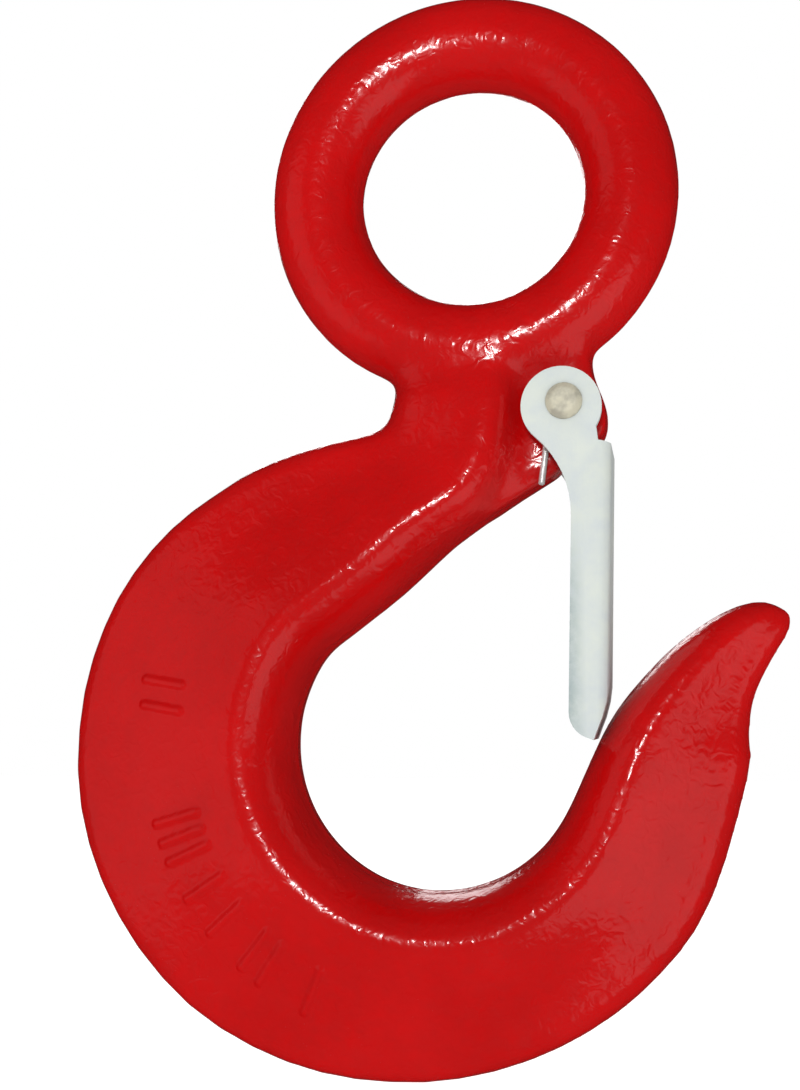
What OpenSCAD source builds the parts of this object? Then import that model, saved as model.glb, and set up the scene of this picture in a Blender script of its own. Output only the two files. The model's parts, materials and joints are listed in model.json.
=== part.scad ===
// Eye hook with a sprung latch, for lifting gear.
// Millimetres. Z is up, the hook tip points to +X, the front faces -Y.
// The origin is the centre of the eye.

/* [Part] */
// Piece to draw

/* [Eye] */
// Inside diameter of the eye
eye_bore = 50.5; // [49:0.5:53]
// Diameter of the round bar of the eye
eye_bar = 21.2; // [20:0.1:22]
// Width of the straight land around the inside of the eye
eye_land = 4; // [2:0.5:6]

/* [Hook] */
// Inside radius of the bowl
bowl_r = 31.5; // [30:0.5:32.5]
// Height from the bowl centre up to the eye centre
bowl_drop = 123.2; // [121:0.1:125]
// Distance of the bowl centre behind the eye centre
bowl_back = 8.2; // [6:0.1:9]
// Greatest thickness of the bowl, front to back
bowl_thick = 36; // [30:1:40]
// Thickness of the outer edge of the bowl
rim_thick = 13; // [10:1:18]

/* [Lug] */
// Distance of the latch pivot in front of the eye centre
pivot_x = 21; // [20:0.5:22]
// Distance of the latch pivot below the eye centre
pivot_drop = 50.5; // [50:0.5:52]
// Thickness of the lug that carries the latch
lug_thick = 12; // [10:0.5:13]

/* [Latch] */
// Thickness of the latch sheet
latch_gauge = 2; // [1.5:0.1:2]
// Inside width between the latch ears
latch_inside = 20.8; // [20.4:0.1:21.4]
// Radius of the latch ears
ear_r = 8.6; // [8.2:0.1:9]
// Lean of the closed latch from upright, in degrees
latch_lean = 1.4; // [1:0.1:1.6]

/* [Rivet] */
// Diameter of the rivet shank
rivet_d = 6; // [5:0.5:7]
// Diameter of the factory head
head_d = 8.6; // [8:0.1:10]
// Diameter across the peened head
peen_d = 8; // [7.5:0.1:9]

/* [Spring] */
// Wire diameter of the latch spring
wire_d = 1.4; // [1.2:0.1:1.6]
// Mean radius of the spring coils
coil_r = 4.4; // [4.2:0.1:4.8]
// Pitch of the spring coils
coil_pitch = 1.55; // [1.5:0.05:1.7]

/* [Hidden] */
$fn = 96;

bar_r = eye_bar / 2;
eye_r = eye_bore / 2;
eye_mid_r = eye_r + sqrt(bar_r * bar_r - eye_land * eye_land / 4);
bowl = [-bowl_back, -bowl_drop];
pivot = [pivot_x, -pivot_drop];
half_in = latch_inside / 2;
half_out = half_in + latch_gauge;
shank_r = rivet_d / 2;

// A section of the hook: inner edge, outer edge, thickness, outer edge thickness, depth of the round nose.
function bowl_station(angle, depth, thick) = [
    bowl + bowl_r * [cos(angle), sin(angle)],
    bowl + (bowl_r + depth) * [cos(angle), sin(angle)],
    [thick * bowl_thick, rim_thick, 0.29 * bowl_thick]
];

stations = [
    [[10, -31], [-12, -31], [15, 13, 5]],
    [[11, -40.5], [-16.2, -41], [20, 17, 6]],
    [[11.4, -48], [-18.6, -47.8], [25, 21, 6.5]],
    [[10.8, -55.5], [-19.2, -51.4], [27.5, 21, 6.5]],
    [[9.8, -62.5], [-22.6, -53.9], [29, 20, 7]],
    [[5.3, -72.6], [-29, -55.1], [31, 18, 8.5]],
    [[-4.5, -80.2], [-38.6, -57.3], [32.5, 16, 9.5]],
    [[-16, -90.6], [-48.2, -60.6], [34, 14.5, 10]],
    [[-27.5, -99.4], [-56.1, -64.7], [34.9, 13, 10.2]],
    bowl_station(142, 47.2, 0.98),
    bowl_station(156, 49.7, 1),
    bowl_station(172, 51.1, 1),
    bowl_station(190, 51.8, 1),
    bowl_station(208, 50.6, 1),
    bowl_station(226, 48.5, 1),
    bowl_station(244, 45, 1),
    bowl_station(262, 41.4, 1),
    bowl_station(280, 38.6, 0.98),
    bowl_station(298, 36.7, 0.95),
    bowl_station(315, 35.7, 0.91),
    bowl_station(331, 34.9, 0.86),
    [[24.2, -128.3], [57.9, -130.1], [29, 12.5, 10]],
    [[28.4, -119.7], [58.4, -121], [27, 12, 9.6]],
    [[33.4, -112.4], [59.3, -114.6], [24, 11.5, 9.2]],
    [[41.9, -103.3], [61.3, -109.4], [19.5, 10.5, 7.6]],
    [[50.6, -96.8], [64.3, -104], [14.5, 9, 5.8]],
    [[57.2, -93.6], [66.8, -100], [10.5, 7.5, 4.6]],
    [[61.6, -93], [67.7, -96.8], [6.4, 5, 2.8]],
    [[64, -93.4], [67.2, -95.2], [2.4, 2, 1.2]]
];

// Smooth curve through a list of points or numbers, at position i + t.
function at(list, i) = list[max(0, min(len(list) - 1, i))];
function blend(a, b, c, d, t) =
    b + 0.5 * t * (c - a + t * (2 * a - 5 * b + 4 * c - d + t * (3 * (b - c) + d - a)));
function station(list, i, t) = [for (k = [0:2])
    blend(at(list, i - 1)[k], at(list, i)[k], at(list, i + 1)[k], at(list, i + 2)[k], t)];
function mix(a, b, t) = a + (b - a) * t;

nose_steps = 6;
side_steps = 3;
rim_steps = 4;

// Half of a section, from the inner edge to the outer edge, as [distance, half thickness].
function half_section(width, thick, rim, nose) = concat(
    [for (i = [0:nose_steps]) let (a = 90 * i / nose_steps)
        [nose * (1 - cos(a)), thick / 2 * sin(a)]],
    [for (i = [1:side_steps]) let (s = i / (side_steps + 1))
        [mix(nose, width - rim / 2, s), mix(thick, rim, 0.6 * s + 0.4 * s * s * (3 - 2 * s)) / 2]],
    [for (i = [0:rim_steps]) let (a = 90 * i / rim_steps)
        [width - rim / 2 + rim / 2 * sin(a), rim / 2 * cos(a)]]
);

function section(s) =
    let (along = s[1] - s[0], half = half_section(norm(along), s[2][0], s[2][1], s[2][2]),
         last = len(half) - 1, unit = along / norm(along))
    concat(
        [for (p = half) let (q = s[0] + unit * p[0]) [q[0], p[1], q[1]]],
        [for (i = [last - 1:-1:1]) let (q = s[0] + unit * half[i][0]) [q[0], -half[i][1], q[1]]]
    );

// Solid skin through rings of points.
module skin(rings) {
    n = len(rings[0]);
    m = len(rings);
    polyhedron(
        points = [for (r = rings) each r],
        faces = concat(
            [[for (j = [n - 1:-1:0]) j]],
            [for (i = [0:m - 2], j = [0:n - 1]) let (k = (j + 1) % n)
                [i * n + j, (i + 1) * n + k, (i + 1) * n + j]],
            [for (i = [0:m - 2], j = [0:n - 1]) let (k = (j + 1) % n)
                [i * n + j, i * n + k, (i + 1) * n + k]],
            [[for (j = [0:n - 1]) (m - 1) * n + j]]
        )
    );
}

// Turns a drawing in X and Z into a plate centred on Y.
module plate(thick) {
    translate([0, thick / 2, 0]) rotate([90, 0, 0]) linear_extrude(thick) children();
}

module eye_ring() {
    rotate([90, 0, 0]) rotate_extrude() difference() {
        translate([eye_mid_r, 0]) circle(bar_r);
        square([2 * eye_r, eye_bar], center = true);
    }
}

module bowl_sweep() {
    steps = 3;
    rings = [for (i = [0:len(stations) - 2], t = [0:steps - 1]) section(station(stations, i, t / steps))];
    skin(concat(rings, [section(stations[len(stations) - 1])]));
}

lug_corners = [
    [-4, -36], [14, -36], [25.6, -37.4], [26.6, -40.5], [27.2, -44], [28.9, -47.8],
    [29.9, -51.5], [29.8, -55.6], [28.6, -57.8], [25, -59.6], [21.5, -62], [18.9, -65], [15.6, -66.9],
    [11.7, -69.3], [4, -74.1], [-4, -74]
];

module lug() {
    plate(lug_thick) polygon(lug_corners);
}

module hook_body() {
    color([0.72, 0.04, 0.05])
    difference() {
        union() {
            eye_ring();
            bowl_sweep();
            lug();
        }
        translate([pivot[0], 0, pivot[1]]) rotate([90, 0, 0])
            cylinder(r = shank_r + 0.1, h = 2 * lug_thick, center = true);
    }
}

// Latch sizes in its own frame: origin on the pivot, closed latch hanging straight down.
web_x = 10;
web_top = -8.9;
ear = [-0.6, -1];
free_x = 1.8;
blend_z = -24.5;
bend_r = 2.4;
ear_to_free = free_x - ear[0];
ear_to_blend = blend_z - ear[1];
blend_r = (ear_to_free * ear_to_free + ear_to_blend * ear_to_blend - ear_r * ear_r)
    / (2 * (ear_to_free + ear_r));

function arc(centre, r, from, to, steps) =
    [for (i = [0:steps]) centre + r * [cos(mix(from, to, i / steps)), sin(mix(from, to, i / steps))]];

// Angle on the blend circle where it meets the ear circle.
blend_angle = atan2(-ear_to_blend, blend_r - ear_to_free);

latch_side = concat(
    [[ear[0] - ear_r / 2, ear[1]]],
    arc([free_x - blend_r, blend_z], blend_r, blend_angle, 0, 8),
    arc([free_x + 5.5, -65.8], 5.5, 180, 250, 6),
    [[7, -71.5], [7.8, -69.2], [8.7, -66.8], [9.6, -63.3], [web_x, -60], [web_x, web_top]],
    [[7.3, web_top + 0.5], [6.9, -5.6]]
);

module latch() {
    color([0.82, 0.85, 0.87])
    translate([pivot[0], 0, pivot[1]]) rotate([0, latch_lean, 0])
    difference() {
        intersection() {
            plate(2 * half_out) {
                translate(ear) circle(ear_r);
                polygon(latch_side);
            }
            translate([0, 0, -90]) linear_extrude(110) {
                translate([-30, -half_out]) square([30 + web_x - bend_r, 2 * half_out]);
                translate([web_x - bend_r - 1, bend_r - half_out])
                    square([bend_r + 1, 2 * (half_out - bend_r)]);
                for (side = [-1, 1])
                    translate([web_x - bend_r, side * (half_out - bend_r)]) circle(bend_r);
            }
        }
        plate(2 * half_in) polygon([
            [-20, 20], [20, 20], [20, web_top], [web_x - latch_gauge, web_top],
            [web_x - latch_gauge, -60], [7.6, -63.5], [6.7, -67.2], [5.9, -69.4], [5, -74], [-20, -74]
        ]);
        rotate([90, 0, 0]) cylinder(r = shank_r + 0.05, h = 4 * half_out, center = true);
    }
}

module rivet() {
    head_h = 2.2;
    peen_h = 1.6;
    gap = 0.2;
    color([0.8, 0.78, 0.7])
    translate([pivot[0], 0, pivot[1]]) rotate([90, 0, 0]) rotate_extrude() polygon([
        [0, -half_out - gap - head_h],
        [head_d / 2 - 1.6, -half_out - gap - head_h],
        [head_d / 2 - 0.5, -half_out - gap - head_h + 0.7],
        [head_d / 2, -half_out - gap - head_h + 1.6],
        [head_d / 2, -half_out - gap],
        [shank_r, -half_out - gap],
        [shank_r, half_out + gap],
        [peen_d / 2, half_out + gap],
        [peen_d / 2 - 0.2, half_out + gap + 0.8],
        [peen_d / 2 - 1.1, half_out + gap + peen_h],
        [0, half_out + gap + peen_h]
    ]);
}

// Half of the latch spring: a leg that bears on the hook, a coil, a leg to the latch and half the bridge.
turns = 1.46;
coil_start = 174;
coil_gap = (half_in - lug_thick / 2 - wire_d - turns * coil_pitch) / 2;
coil_y = lug_thick / 2 + coil_gap + wire_d / 2;
// Free ends of the front and back legs, then the bend they share, from the pivot
foot = [-5.4, -17.2];
back_foot = [-4.8, -13.6];
knee = [-4.2, -8.5];
bridge = [6.5, -21];

function wire_half(free) = concat(
    [[free[0], coil_y, free[1]], [knee[0], coil_y, knee[1]]],
    [for (i = [0:24]) let (a = coil_start - 360 * turns * i / 24)
        [coil_r * cos(a), coil_y + turns * coil_pitch * i / 24, coil_r * sin(a)]],
    [[bridge[0] - 0.35, coil_y + turns * coil_pitch, bridge[1] + 2],
     [bridge[0], coil_y + turns * coil_pitch - 0.5, bridge[1] + 0.4],
     [bridge[0], coil_y + turns * coil_pitch - 1.4, bridge[1]]]
);

module torsion_spring() {
    back = wire_half(back_foot);
    front = wire_half(foot);
    n = len(front);
    path = concat(back, [for (i = [n - 1:-1:0]) [front[i][0], -front[i][1], front[i][2]]]);
    m = len(path);
    rings = [for (i = [0:m - 1])
        let (ahead = path[min(i + 1, m - 1)] - path[i], behind = path[i] - path[max(i - 1, 0)],
             a = norm(ahead) > 0 ? ahead / norm(ahead) : [0, 0, 0],
             b = norm(behind) > 0 ? behind / norm(behind) : [0, 0, 0],
             dir = (a + b) / norm(a + b),
             side = cross(dir, abs(dir[1]) > 0.8 ? [1, 0, 0.3] : [0, 1, 0]),
             u = side / norm(side), v = cross(u, dir))
        [for (k = [0:9]) path[i] + wire_d / 2 * (u * cos(36 * k) + v * sin(36 * k))]];
    color([0.85, 0.86, 0.84])
    translate([pivot[0], 0, pivot[1]]) skin(rings);
}

hook_body();
latch();
torsion_spring();
rivet();
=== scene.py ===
import json
import math

import bmesh
import bpy
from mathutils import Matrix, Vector, noise


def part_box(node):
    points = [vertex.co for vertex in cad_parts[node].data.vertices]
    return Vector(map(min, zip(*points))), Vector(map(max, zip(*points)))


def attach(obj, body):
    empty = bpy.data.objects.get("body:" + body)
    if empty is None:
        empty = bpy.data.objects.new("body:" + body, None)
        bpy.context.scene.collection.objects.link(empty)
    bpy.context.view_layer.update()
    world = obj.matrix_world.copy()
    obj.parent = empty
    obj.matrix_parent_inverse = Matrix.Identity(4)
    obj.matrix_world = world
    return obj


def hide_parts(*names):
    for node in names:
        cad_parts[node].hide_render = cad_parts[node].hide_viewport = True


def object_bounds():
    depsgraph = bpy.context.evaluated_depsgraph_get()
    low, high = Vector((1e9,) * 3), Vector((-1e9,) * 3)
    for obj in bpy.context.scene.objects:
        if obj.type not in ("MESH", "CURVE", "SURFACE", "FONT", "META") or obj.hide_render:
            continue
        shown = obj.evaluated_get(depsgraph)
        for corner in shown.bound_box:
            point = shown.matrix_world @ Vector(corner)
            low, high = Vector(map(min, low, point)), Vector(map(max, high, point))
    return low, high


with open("model.json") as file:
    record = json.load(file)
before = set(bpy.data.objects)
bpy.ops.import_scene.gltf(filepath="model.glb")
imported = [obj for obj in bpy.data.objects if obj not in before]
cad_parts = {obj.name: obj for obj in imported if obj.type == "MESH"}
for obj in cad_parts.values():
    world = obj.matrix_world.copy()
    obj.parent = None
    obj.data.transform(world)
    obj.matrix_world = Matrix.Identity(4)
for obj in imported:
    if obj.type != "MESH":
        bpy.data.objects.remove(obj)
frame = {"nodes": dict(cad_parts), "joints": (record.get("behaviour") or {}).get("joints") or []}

cadLow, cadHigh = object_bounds()
scene = bpy.context.scene
mm = 0.001


class Sock:

    def __init__(self, tree, out):
        self.tree, self.out = tree, out

    def maths(self, kind, a, b=None):
        n = self.tree.nodes.new("ShaderNodeMath")
        n.operation = kind
        for i, v in enumerate((a, b)):
            if v is None:
                continue
            if isinstance(v, Sock):
                self.tree.links.new(v.out, n.inputs[i])
            else:
                n.inputs[i].default_value = v
        return Sock(self.tree, n.outputs[0])

    def __add__(self, v): return self.maths("ADD", self, v)
    def __radd__(self, v): return self.maths("ADD", v, self)
    def __sub__(self, v): return self.maths("SUBTRACT", self, v)
    def __rsub__(self, v): return self.maths("SUBTRACT", v, self)
    def __mul__(self, v): return self.maths("MULTIPLY", self, v)
    def __rmul__(self, v): return self.maths("MULTIPLY", v, self)
    def __truediv__(self, v): return self.maths("DIVIDE", self, v)
    def __pow__(self, v): return self.maths("POWER", self, v)


class Finish:

    def __init__(self, name, **constants):
        self.mat = bpy.data.materials.new(name)
        self.mat.use_nodes = True
        self.tree = self.mat.node_tree
        self.shader = self.tree.nodes["Principled BSDF"]
        for key, value in constants.items():
            self.shader.inputs[key.replace("_", " ")].default_value = value
        self.coords = self.node("ShaderNodeTexCoord", out="Object")

    def node(self, kind, settings=None, out=0, **values):
        n = self.tree.nodes.new(kind)
        for key, value in (settings or {}).items():
            if key == "stops":
                ramp = n.color_ramp
                while len(ramp.elements) < len(value):
                    ramp.elements.new(0.5)
                for element, (place, colour) in zip(ramp.elements, value):
                    element.position = place
                    shade = colour if isinstance(colour, tuple) else (colour,) * 3
                    element.color = (*shade, 1)
            else:
                setattr(n, key, value)
        for key, value in values.items():
            sock = n.inputs[int(key[1:])] if key[1:].isdigit() else n.inputs[key.replace("_", " ")]
            if isinstance(value, Sock):
                self.tree.links.new(value.out, sock)
            else:
                sock.default_value = value
        return Sock(self.tree, n.outputs[out])

    def feed(self, key, value):
        self.tree.links.new(value.out, self.shader.inputs[key])
        return self

    def noise(self, scale, detail=2.0, rough=0.5, distort=0.0, at=None):
        return self.node("ShaderNodeTexNoise", Vector=at or self.coords, Scale=scale,
                         Detail=detail, Roughness=rough, Distortion=distort)

    def ramp(self, value, stops, interpolation="LINEAR"):
        n = self.node("ShaderNodeValToRGB", {"stops": stops}, Fac=value)
        n.out.node.color_ramp.interpolation = interpolation
        return n

    def mix(self, factor, a, b):
        return self.node("ShaderNodeMix", {"data_type": "RGBA"}, out=2, i0=factor, i6=a, i7=b)

    def bump(self, height, distance, strength=1.0, under=None):
        values = dict(Height=height, Distance=distance, Strength=strength)
        if under is not None:
            values["Normal"] = under
        return self.node("ShaderNodeBump", **values)


def newObject(name, mesh):
    obj = bpy.data.objects.new(name, mesh)
    scene.collection.objects.link(obj)
    return obj


def copyOfNode(node, name):
    mesh = frame["nodes"][node].data.copy()
    mesh.materials.clear()
    obj = newObject(name, mesh)
    bm = bmesh.new()
    bm.from_mesh(mesh)
    bmesh.ops.remove_doubles(bm, verts=bm.verts, dist=1e-6)
    bm.to_mesh(mesh)
    bm.free()
    return obj


def applyModifiers(obj):
    deps = bpy.context.evaluated_depsgraph_get()
    deps.update()
    mesh = bpy.data.meshes.new_from_object(obj.evaluated_get(deps))
    obj.modifiers.clear()
    obj.data = mesh
    return obj


def shadeSmooth(obj, angle=None):
    for poly in obj.data.polygons:
        poly.use_smooth = True
    if angle is not None:
        obj.data.set_sharp_from_angle(angle=math.radians(angle))


def smoothStep(low, high, x):
    t = max(0.0, min(1.0, (x - low) / (high - low)))
    return t * t * (3 - 2 * t)


view = {
    "place": (0.04194, -0.32742, -0.11696),
    "pan": 10.14,
    "tilt": 6.466,
    "lens": 49.54,
}
camData = bpy.data.cameras.new("camera")
camData.lens = view["lens"]
camData.sensor_width = 36
camData.clip_start = 0.01
camera = bpy.data.objects.new("camera", camData)
camera.location = view["place"]
camera.rotation_euler = (math.radians(90 + view["tilt"]), 0, math.radians(view["pan"]))
scene.collection.objects.link(camera)
scene.camera = camera
print("camera set")


studio = {
    "floorDrop": 0.45,
    "floorSize": 12,
    "roomLight": 0.74,          # what the object is lit by all round
    "roomReflection": 0.015,    # what it mirrors all round
    "keyPlace": (0.022, -0.52, 0.0),
    "keySize": 0.04,
    "keyPower": 1.05,
    "panels": {                 # place, size and power of each
        "leftPanel": ((-0.85, -0.55, -0.05), (0.75, 1.1), 0.6),
        "rightPanel": ((0.62, -0.55, -0.5), (0.7, 0.7), 1.0),
        "backPanel": ((-0.25, 0.9, 0.35), (0.3, 0.3), 0.9),
    },
}
scene.view_settings.view_transform = "Standard"
world = bpy.data.worlds.new("studio")
scene.world = world
world.use_nodes = True
tree = world.node_tree
back = tree.nodes["Background"]
path = tree.nodes.new("ShaderNodeLightPath")


def worldPick(ray, yes, no):
    pick = tree.nodes.new("ShaderNodeMix")
    tree.links.new(path.outputs[ray], pick.inputs[0])
    for i, v in ((2, no), (3, yes)):
        if isinstance(v, float):
            pick.inputs[i].default_value = v
        else:
            tree.links.new(v, pick.inputs[i])
    return pick.outputs[0]


lit = worldPick("Is Glossy Ray", studio["roomReflection"], studio["roomLight"])
tree.links.new(worldPick("Is Camera Ray", 1.0, lit), back.inputs["Strength"])
back.inputs["Color"].default_value = (1, 1, 1, 1)

bm = bmesh.new()
bmesh.ops.create_grid(bm, x_segments=1, y_segments=1, size=studio["floorSize"])
bmesh.ops.translate(bm, verts=bm.verts, vec=(0, 0, cadLow.z - studio["floorDrop"]))
floorMesh = bpy.data.meshes.new("floor")
bm.to_mesh(floorMesh)
bm.free()
floor = newObject("floor", floorMesh)
floor.visible_glossy = False
floorFinish = Finish("paleFloor", Base_Color=(0.86, 0.86, 0.86, 1), Roughness=0.9,
                     Emission_Color=(1, 1, 1, 1), Emission_Strength=0.6)
floor.data.materials.append(floorFinish.mat)


def softbox(name, place, size, power, aim=(0, 0, -0.09)):
    data = bpy.data.lights.new(name, "AREA")
    data.shape = "RECTANGLE"
    data.size, data.size_y = size
    data.energy = power
    lamp = bpy.data.objects.new(name, data)
    lamp.location = place
    lamp.rotation_euler = (Vector(place) - Vector(aim)).to_track_quat("Z", "Y").to_euler()
    scene.collection.objects.link(lamp)
    return lamp


softbox("keyLight", studio["keyPlace"], (studio["keySize"],) * 2, studio["keyPower"])
for name, (place, size, power) in studio["panels"].items():
    softbox(name, place, size, power)
print("studio set")


hook = {
    "voxel": 0.96 * mm,
    "smoothAll": 8,
    "smoothNeck": 70,
    "neckCentre": (0.003, 0, -0.045),
    "neckReach": (0.016, 0.036),
    "undulation": 0.05 * mm,
    "inset": 0.2 * mm,                                     # keeps raised paint within the solid's box
    "flashLine": 0.22 * mm,
    "markHeight": 0.6 * mm,
    "markHalfWidth": 0.8 * mm,
    "markLength": 10.5 * mm,
    "markRadius": 57.5 * mm,                               # from the bowl's centre
    "markAngles": (196, 200, 204, 212, 220, 229, 233.5, 244),
    "sideMarks": ((-67.3, -109.8), (-67.6, -115.4)),       # middle of each, in mm
    "red": (0.43, 0.0014, 0.0018),
    "deep": (0.37, 0.0008, 0.0010),
}
bowlCentre = Vector((-0.0082, 0, -0.1232))

hookPaint = Finish("glossRedPaint", IOR=1.46)
squiggle = hookPaint.noise(400, 1.2, 0.4, 1.1)
swell = hookPaint.noise(130, 2.0, 0.5, 0.3)
fine = hookPaint.noise(2600, 2.0, 0.6)
broad = hookPaint.noise(38, 3.0, 0.55)
mottle = hookPaint.noise(310, 3.0, 0.65)
tone = hookPaint.ramp(0.65 * broad + 0.35 * mottle, [(0.38, 0.0), (0.62, 1.0)])
cells = hookPaint.node("ShaderNodeTexVoronoi", {"feature": "F1"}, Vector=hookPaint.coords, Scale=900.0)
pinhole = hookPaint.ramp(cells, [(0.04, 1.0), (0.1, 0.0)])
sparse = hookPaint.ramp(hookPaint.noise(160, 1.0), [(0.56, 0.0), (0.6, 1.0)])
speck = pinhole * sparse                                    # in patches
body = hookPaint.mix(tone, (*hook["red"], 1), (*hook["deep"], 1))
hookPaint.feed("Base Color", hookPaint.mix(0.55 * speck, body, (0.2, 0.001, 0.002, 1)))
hookPaint.feed("Roughness", 0.12 + 0.12 * mottle + 0.25 * speck)
hookPaint.feed("Normal", hookPaint.bump(squiggle + 0.7 * swell + 0.04 * fine - 0.15 * speck, 0.00034, 0.5))

forging = copyOfNode("hook_body", "hookForging")
mod = forging.modifiers.new("remesh", "REMESH")
mod.mode = "VOXEL"
mod.voxel_size = hook["voxel"] * 1.0
applyModifiers(forging)
group = forging.vertex_groups.new(name="neck")
for v in forging.data.vertices:
    far = (v.co - Vector(hook["neckCentre"])).length
    group.add([v.index], 1.0 - smoothStep(*hook["neckReach"], far), "REPLACE")
mod = forging.modifiers.new("neckBlend", "SMOOTH")
mod.factor, mod.iterations, mod.vertex_group = 0.5, hook["smoothNeck"], "neck"
mod = forging.modifiers.new("forged", "SMOOTH")
mod.factor, mod.iterations = 0.5, hook["smoothAll"]
applyModifiers(forging)
forging.vertex_groups.clear()

strokes = []                                                # raised bars, as pairs of end points
for angle in hook["markAngles"]:
    out = Vector((math.cos(math.radians(angle)), 0, math.sin(math.radians(angle))))
    mid = bowlCentre + out * hook["markRadius"]
    strokes.append((mid - out * hook["markLength"] / 2, mid + out * hook["markLength"] / 2))
for x, z in hook["sideMarks"]:
    mid = Vector((x, 0, z)) * mm
    strokes.append((mid - Vector((4.6, 0, -0.7)) * mm, mid + Vector((4.6, 0, -0.7)) * mm))


def strokeDistance(co):
    p = Vector((co.x, 0, co.z))
    best = 1.0
    for a, b in strokes:
        t = max(0.0, min(1.0, (p - a).dot(b - a) / (b - a).length_squared))
        best = min(best, (p - a - t * (b - a)).length)
    return best


bm = bmesh.new()
bm.from_mesh(forging.data)
region = [f for f in bm.faces if f.calc_center_median().y < -0.004
          and strokeDistance(f.calc_center_median()) < 2.5 * mm]
edges = list({e for f in region for e in f.edges})
bmesh.ops.subdivide_edges(bm, edges=edges, cuts=3, use_grid_fill=True)
bm.normal_update()
moves = []
for v in bm.verts:
    lift = hook["undulation"] * (noise.noise(v.co * 90) + 0.35 * noise.noise(v.co * 260)) - hook["inset"]
    lift += hook["flashLine"] * (1 - smoothStep(0.3 * mm, 1.3 * mm, abs(v.co.y)))
    if v.co.y < -0.004:
        near = strokeDistance(v.co)
        if near < 2.2 * mm:
            half = hook["markHalfWidth"]
            lift += hook["markHeight"] * (1 - smoothStep(half * 0.1, half + 0.75 * mm, near))
    moves.append(v.normal * lift)
for v, move in zip(bm.verts, moves):
    v.co += move
bm.to_mesh(forging.data)
bm.free()
shadeSmooth(forging)
forging.data.materials.append(hookPaint.mat)
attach(forging, "hook")
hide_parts("hook_body")
print("hook body made", len(forging.data.polygons))


latch = {
    "edgeRadius": 0.28 * mm,
    "zinc": (0.50, 0.54, 0.545),
    "warm": (0.56, 0.595, 0.55),
    # painted highlight colour for the rounded rims of the sheet
    "edge": (0.76, 0.77, 0.76),
    # painted shade colour for the bend on the lower left of the plate
    "dull": (0.27, 0.335, 0.34),
}
pivot = Vector(frame["joints"][0]["pos_m"])

zinc = Finish("zincPlate", Metallic=0.15)
cloud = zinc.noise(95, 4.0, 0.6, 0.4)
spangle = zinc.noise(420, 3.0, 0.7)
rollAt = zinc.node("ShaderNodeMapping", Vector=zinc.coords, Scale=(1.0, 1.0, 0.06))
roll = zinc.noise(1500, 2.0, 0.6, at=rollAt)                # lines of the rolled sheet
tint = zinc.ramp(0.7 * cloud + 0.3 * spangle, [(0.36, 0.0), (0.62, 1.0)])
plate = zinc.mix(tint, (*latch["zinc"], 1), (*latch["warm"], 1))
across = zinc.node("ShaderNodeSeparateXYZ", Vector=zinc.coords)
down = Sock(zinc.tree, across.out.node.outputs["Z"])
freeSide = zinc.ramp((across - pivot.x) * 180 + 0.05 * cloud, [(0.05, 1.0), (0.75, 0.0)])
lower = zinc.ramp((pivot.z - down) * 14 + 0.3 * cloud, [(0.5, 0.0), (0.72, 1.0)])
# breaks the painted shade of the bend into patches
thin = zinc.ramp(spangle, [(0.35, 0.55), (0.6, 1.0)])
paintedBendShade = freeSide * lower * thin                              # painted shade: darker on the lower left of the plate, where the bend mirrors a darker surround
plate = zinc.mix(0.9 * paintedBendShade, plate, (*latch["dull"], 1))
# painted highlight: rounded rim faces are mixed towards a lighter colour and given a lower roughness
paintedRimHighlight = zinc.node("ShaderNodeAttribute", {"attribute_name": "rim"}, out=2)
zinc.feed("Base Color", zinc.mix(paintedRimHighlight * 0.85, plate, (*latch["edge"], 1)))
zinc.feed("Roughness", 0.6 + 0.12 * cloud + 0.08 * spangle - 0.12 * paintedRimHighlight)
zinc.feed("Normal", zinc.bump(0.6 * spangle + 0.5 * roll + 0.8 * cloud, 0.00012, 0.6))

sheet = copyOfNode("latch", "latchSheet")
bm = bmesh.new()
bm.from_mesh(sheet.data)
bmesh.ops.dissolve_limit(bm, angle_limit=math.radians(0.8), verts=bm.verts, edges=bm.edges)
sharp = [e for e in bm.edges if e.is_manifold and e.calc_face_angle(0) > math.radians(38)]
rim = bm.verts.layers.float.new("rim")
made = bmesh.ops.bevel(bm, geom=sharp, offset=latch["edgeRadius"], offset_type="OFFSET", segments=3,
                       profile=0.5, affect="EDGES", material=-1, clamp_overlap=True)
rounded = set(made["faces"])
for v in {v for f in rounded for v in f.verts}:
    v[rim] = float(all(f in rounded for f in v.link_faces))  # stays 0 where a flat face starts
bmesh.ops.triangulate(bm, faces=[f for f in bm.faces if len(f.verts) > 4])
bm.to_mesh(sheet.data)
bm.free()
shadeSmooth(sheet, 32)
sheet.data.materials.append(zinc.mat)
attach(sheet, "latch")
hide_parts("latch")
print("latch made", len(sheet.data.polygons))


rivet = {
    "steps": 72,
    "dentDepth": 0.07 * mm,
    "dents": ((-1.5, 0.9, 0.9), (1.1, 1.6, 0.8), (1.6, -0.8, 0.9), (-0.7, -1.7, 0.8),
              (-1.0, 0.0, 0.7), (0.3, 0.5, 0.6)),          # across, up and size of each, in mm
}
rivetLow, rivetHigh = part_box("rivet")
front, rear = rivetLow.y / mm, rivetHigh.y / mm
headRadius = (rivetHigh.x - rivetLow.x) / 2 / mm

rivetFinish = Finish("rivetSteel", Metallic=0.2)
pits = rivetFinish.noise(900, 3.0, 0.65)
age = rivetFinish.noise(350, 3.0, 0.6)
rivetFinish.feed("Base Color", rivetFinish.mix(rivetFinish.ramp(age, [(0.4, 0.0), (0.6, 1.0)]),
                                               (0.50, 0.47, 0.36, 1), (0.36, 0.34, 0.27, 1)))
rivetFinish.feed("Roughness", 0.46 + 0.2 * pits)
rivetFinish.feed("Normal", rivetFinish.bump(pits + age, 0.00012, 0.7))

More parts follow.
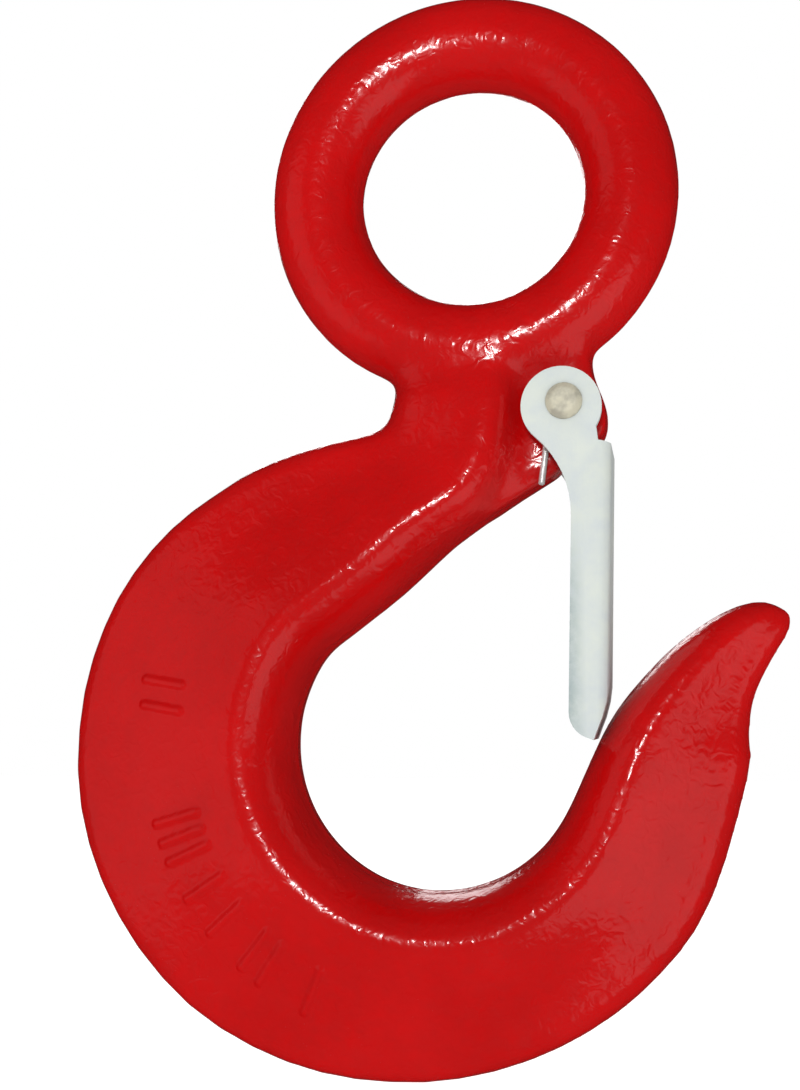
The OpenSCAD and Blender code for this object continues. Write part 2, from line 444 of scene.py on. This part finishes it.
peenTop = [(0, 0), (0.35, 0), (0.7, 0), (1.05, 0.01), (1.4, 0.02), (1.75, 0.03), (2.1, 0.05),
           (2.4, 0.07), (2.75, 0.12), (3.05, 0.3), (3.5, 0.8), (3.9, 1.25), (3.95, 1.6)]
profile = [(r, front + d) for r, d in peenTop] + [(3.0, front + 1.6), (3.0, rear - 2.2)]
profile += [(headRadius, rear - 2.2), (headRadius, rear - 1.5), (headRadius - 0.4, rear - 0.7),
            (headRadius - 1.3, rear - 0.12), (headRadius - 2.2, rear), (0, rear)]
bm = bmesh.new()
row = [bm.verts.new((pivot.x + r * mm, y * mm, pivot.z)) for r, y in profile]
line = [bm.edges.new(pair) for pair in zip(row, row[1:])]
bmesh.ops.spin(bm, geom=row + line, cent=pivot, axis=(0, 1, 0), angle=2 * math.pi,
               steps=rivet["steps"], use_merge=True)
bmesh.ops.remove_doubles(bm, verts=bm.verts, dist=1e-6)
bmesh.ops.recalc_face_normals(bm, faces=bm.faces)
for v in bm.verts:
    if v.co.y / mm > front + 0.9:
        continue
    for dx, dz, size in rivet["dents"]:                     # hammer marks of the peening
        far = math.hypot((v.co.x - pivot.x) / mm - dx, (v.co.z - pivot.z) / mm - dz)
        v.co.y += rivet["dentDepth"] * math.exp(-(far / size) ** 2)
mesh = bpy.data.meshes.new("rivetPeened")
bm.to_mesh(mesh)
bm.free()
shank = newObject("rivetPeened", mesh)
shadeSmooth(shank, 40)
shank.data.materials.append(rivetFinish.mat)
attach(shank, "hook")
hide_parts("rivet")
print("rivet made")


spring = {
    "wire": 0.7,          # radius, mm like the rest of this table
    "coil": 4.4,
    "pitch": 1.55,
    "turns": 1.46,
    "start": 174,
    "foot": (-5.4, -17.2),
    "backFoot": (-4.8, -13.6),  # a guess, drawn shorter than the front leg
    "knee": (-4.2, -8.5),
    "bridge": (6.5, -21),
    "lugHalf": 6.0,
    "earInside": 10.4,
}
gap = (spring["earInside"] - spring["lugHalf"] - 2 * spring["wire"] - spring["turns"] * spring["pitch"]) / 2
innerY = spring["lugHalf"] + gap + spring["wire"]
outerY = innerY + spring["turns"] * spring["pitch"]

wireFinish = Finish("springWire", Metallic=0.6, Base_Color=(0.78, 0.78, 0.76, 1))
drawn = wireFinish.noise(1400, 2.0, 0.6)
dull = wireFinish.noise(260, 3.0, 0.6)
wireFinish.feed("Base Color", wireFinish.mix(wireFinish.ramp(dull, [(0.4, 0.0), (0.62, 1.0)]),
                                             (0.80, 0.80, 0.78, 1), (0.62, 0.63, 0.62, 1)))
wireFinish.feed("Roughness", 0.30 + 0.2 * drawn)
wireFinish.feed("Normal", wireFinish.bump(drawn + dull, 0.00008, 0.5))


def coilPoint(share):
    a = math.radians(spring["start"] - 360 * spring["turns"] * share)
    return (spring["coil"] * math.cos(a), innerY + (outerY - innerY) * share, spring["coil"] * math.sin(a))


def wirePiece(name, points, thin=()):
    # points are the wire's centre line, thin the places in it that lie inside the other half
    curve = bpy.data.curves.new(name, "CURVE")
    curve.dimensions = "3D"
    curve.bevel_depth = spring["wire"] * mm
    curve.bevel_resolution = 4
    curve.use_fill_caps = True
    line = curve.splines.new("POLY")
    line.points.add(len(points) - 1)
    for i, (x, y, z) in enumerate(points):
        line.points[i].co = (pivot.x + x * mm, y * mm, pivot.z + z * mm, 1)
        line.points[i].radius = 0.93 if i in thin else 1.0
    for i in (0, -1):
        line.points[i].radius = 0.55                        # rounds off the cut ends
    obj = newObject(name, curve)
    deps = bpy.context.evaluated_depsgraph_get()
    deps.update()
    mesh = bpy.data.meshes.new_from_object(obj.evaluated_get(deps))
    bpy.data.objects.remove(obj)
    piece = newObject(name, mesh)
    bm = bmesh.new()
    bm.from_mesh(mesh)
    bmesh.ops.remove_doubles(bm, verts=bm.verts, dist=1e-7)
    bmesh.ops.recalc_face_normals(bm, faces=bm.faces)
    bm.to_mesh(mesh)
    bm.free()
    shadeSmooth(piece, 60)
    mesh.materials.clear()
    mesh.materials.append(wireFinish.mat)
    return piece


def bend(corner, before, after, radius=1.4, steps=6):
    # rounds a corner of the wire between two straight stretches
    c, a, b = Vector(corner), Vector(before), Vector(after)
    p, q = c + (a - c).normalized() * radius, c + (b - c).normalized() * radius
    shares = [i / steps for i in range(steps + 1)]
    return [tuple((1 - t) ** 2 * p + 2 * t * (1 - t) * c + t * t * q) for t in shares]


def mirrored(points):
    return [(x, -y, z) for x, y, z in reversed(points)]


kneeX, kneeZ = spring["knee"]


def springLeg(free):
    # free is the place of the leg's end, from the pivot
    end = Vector((free[0], innerY, free[1]))
    up = (Vector((kneeX, innerY, kneeZ)) - end).normalized()
    points = [tuple(end), tuple(end + up * 0.25), tuple(end + up * 0.6)]
    points += bend((kneeX, innerY, kneeZ), tuple(end), coilPoint(0), 2)
    return points + [coilPoint(i / 60) for i in range(0, 58)]


bridgeX, bridgeZ = spring["bridge"]
arm = [coilPoint(i / 60) for i in range(53, 61)]
arm += bend((bridgeX, outerY, bridgeZ), coilPoint(1), (bridgeX, 0, bridgeZ))
whole = arm + mirrored(arm)
buried = set(range(7)) | set(range(len(whole) - 7, len(whole)))
wires = ((wirePiece("springLegNear", mirrored(springLeg(spring["foot"]))), "hook"),
         (wirePiece("springLegFar", springLeg(spring["backFoot"])), "hook"),
         (wirePiece("springBridge", whole, buried), "latch"))
for piece, owner in wires:
    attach(piece, owner)
    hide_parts("torsion_spring")
print("spring made")
